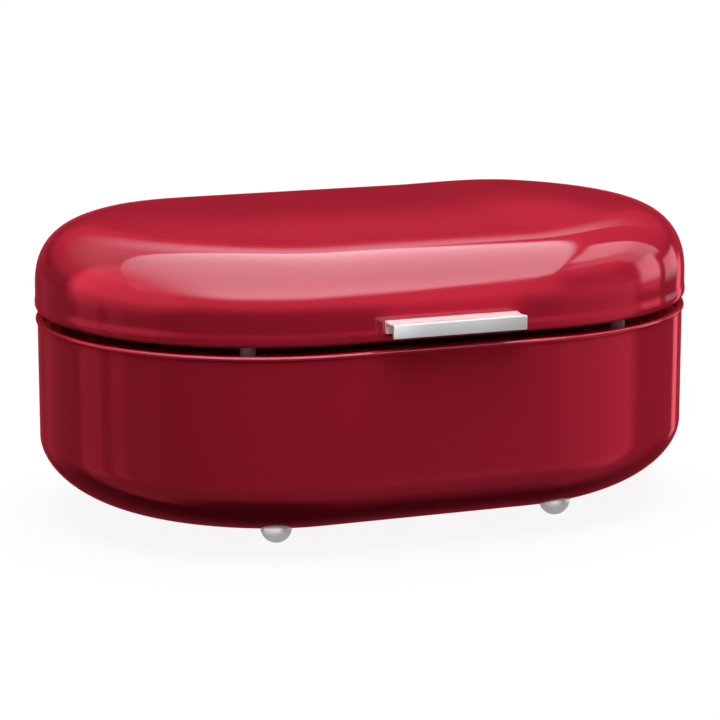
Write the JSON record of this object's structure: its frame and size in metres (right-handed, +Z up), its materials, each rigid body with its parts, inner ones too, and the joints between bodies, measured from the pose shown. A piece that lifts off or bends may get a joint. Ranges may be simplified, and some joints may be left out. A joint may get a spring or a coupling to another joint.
{
  "type": "bread bin",
  "caption": "Stadium-shaped sheet-steel bread bin on low dome feet, with a domed lid hinged at the back and a metal pull strip on the lid's front edge.",
  "frame": {"origin": "on the floor under the middle of the bin", "axes": "+X to the right along the bin's length, -Y to the front where the lid pull is, +Z up"},
  "size_m": [0.4198, 0.3115, 0.1825],
  "materials": {
    "red_enamel": "gloss",
    "satin_metal": "satin",
    "foot_metal": "satin",
    "grey_rubber": "matte",
    "plated_steel": "satin"
  },
  "bodies": {
    "tub": {"tub_shell": "red_enamel", "rim_ring": "red_enamel", "bumper_front_left": "grey_rubber", "bumper_front_right": "grey_rubber", "bumper_rear_left": "grey_rubber", "bumper_rear_right": "grey_rubber", "tub_leaf_left": "plated_steel", "tub_leaf_right": "plated_steel", "hinge_pin_left": "plated_steel", "hinge_pin_right": "plated_steel", "tub_backing_left": "plated_steel", "tub_backing_right": "plated_steel", "tub_rivets": "plated_steel", "foot_front_left": "foot_metal", "foot_front_right": "foot_metal", "foot_rear_left": "foot_metal", "foot_rear_right": "foot_metal", "foot_gasket_front_left": "grey_rubber", "foot_gasket_front_right": "grey_rubber", "foot_gasket_rear_left": "grey_rubber", "foot_gasket_rear_right": "grey_rubber", "foot_screws": "plated_steel", "foot_washers": "plated_steel"},
    "lid": {"lid_shell": "red_enamel", "lid_ring": "red_enamel", "lid_pull": "satin_metal", "pull_screws": "plated_steel", "pull_washers": "plated_steel", "lid_leaf_left": "plated_steel", "lid_leaf_right": "plated_steel", "lid_backing_left": "plated_steel", "lid_backing_right": "plated_steel", "lid_rivets": "plated_steel"}
  },
  "joints": [
    {"name": "lid_hinge", "type": "hinge", "parent": "tub", "child": "lid", "pos_m": [0, 0.1475, 0.1265], "axis": [-1, 0, 0], "range_deg": [0, 100]}
  ]
}
